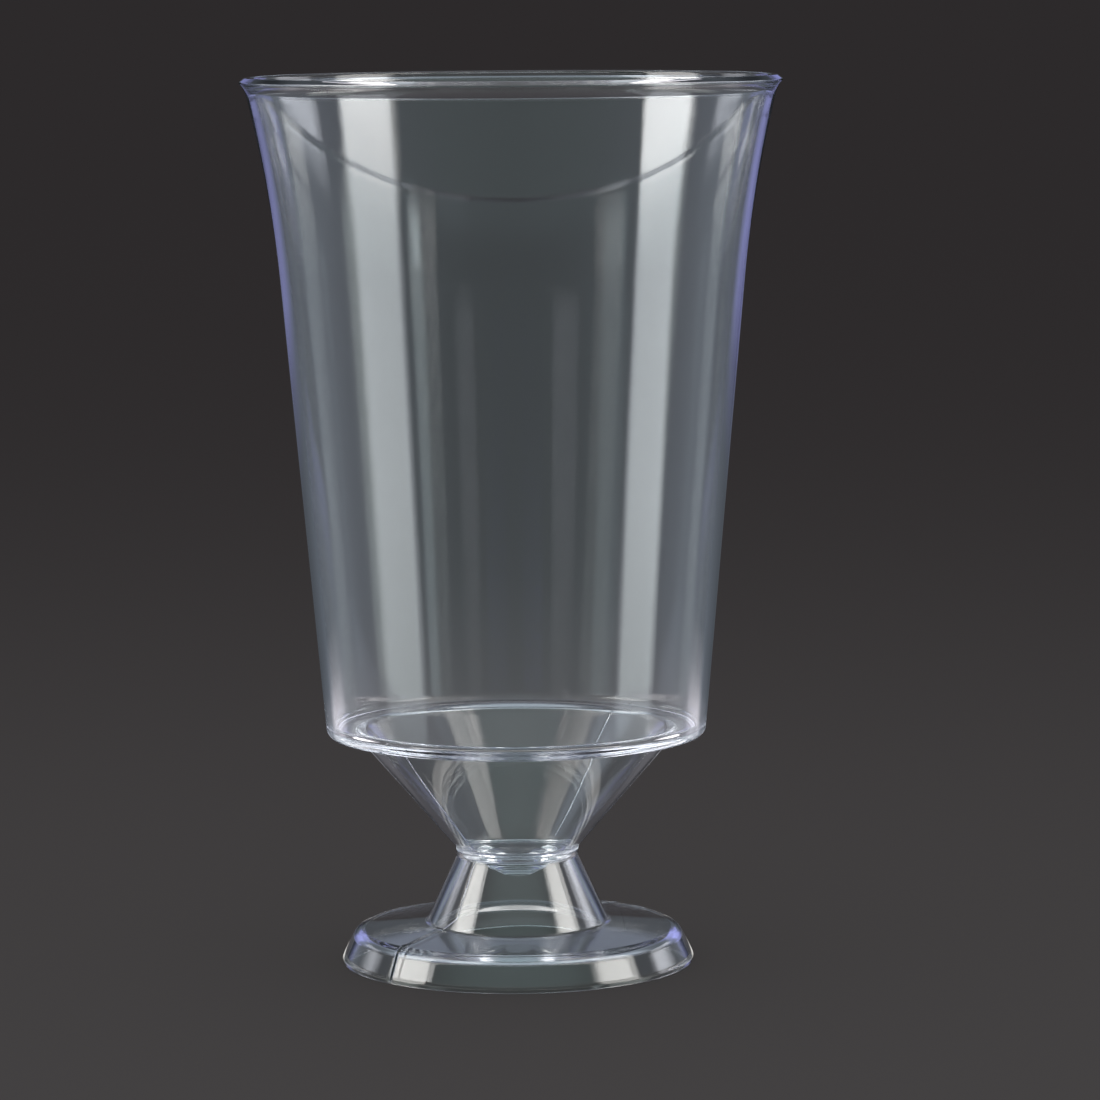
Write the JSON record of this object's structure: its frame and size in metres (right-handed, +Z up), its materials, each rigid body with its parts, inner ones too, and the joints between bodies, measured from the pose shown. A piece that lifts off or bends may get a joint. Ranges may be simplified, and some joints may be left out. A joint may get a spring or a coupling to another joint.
{
  "type": "disposable wine glass",
  "caption": "Clear moulded single-use wine goblet: flared cup with a thin turned-out lip, ledge and cone, push-fitted by its spigot into a hollow stem with a round skirted foot.",
  "frame": {"origin": "centre of the ring that the foot stands on, in the table plane", "axes": "+Z up along the axis of revolution; +Y away from the picture's camera, +X to its right"},
  "size_m": [0.07, 0.07, 0.1154],
  "materials": {
    "clear_plastic": "clear polished polystyrene with a faint blue cast at the edges"
  },
  "bodies": {
    "base": {"base": "clear_plastic"},
    "bowl": {"bowl": "clear_plastic"}
  },
  "joints": [
    {"name": "bowl_lift", "type": "slide", "parent": "base", "child": "bowl", "axis": [0, 0, 1], "range_m": [0, 0.03]}
  ]
}
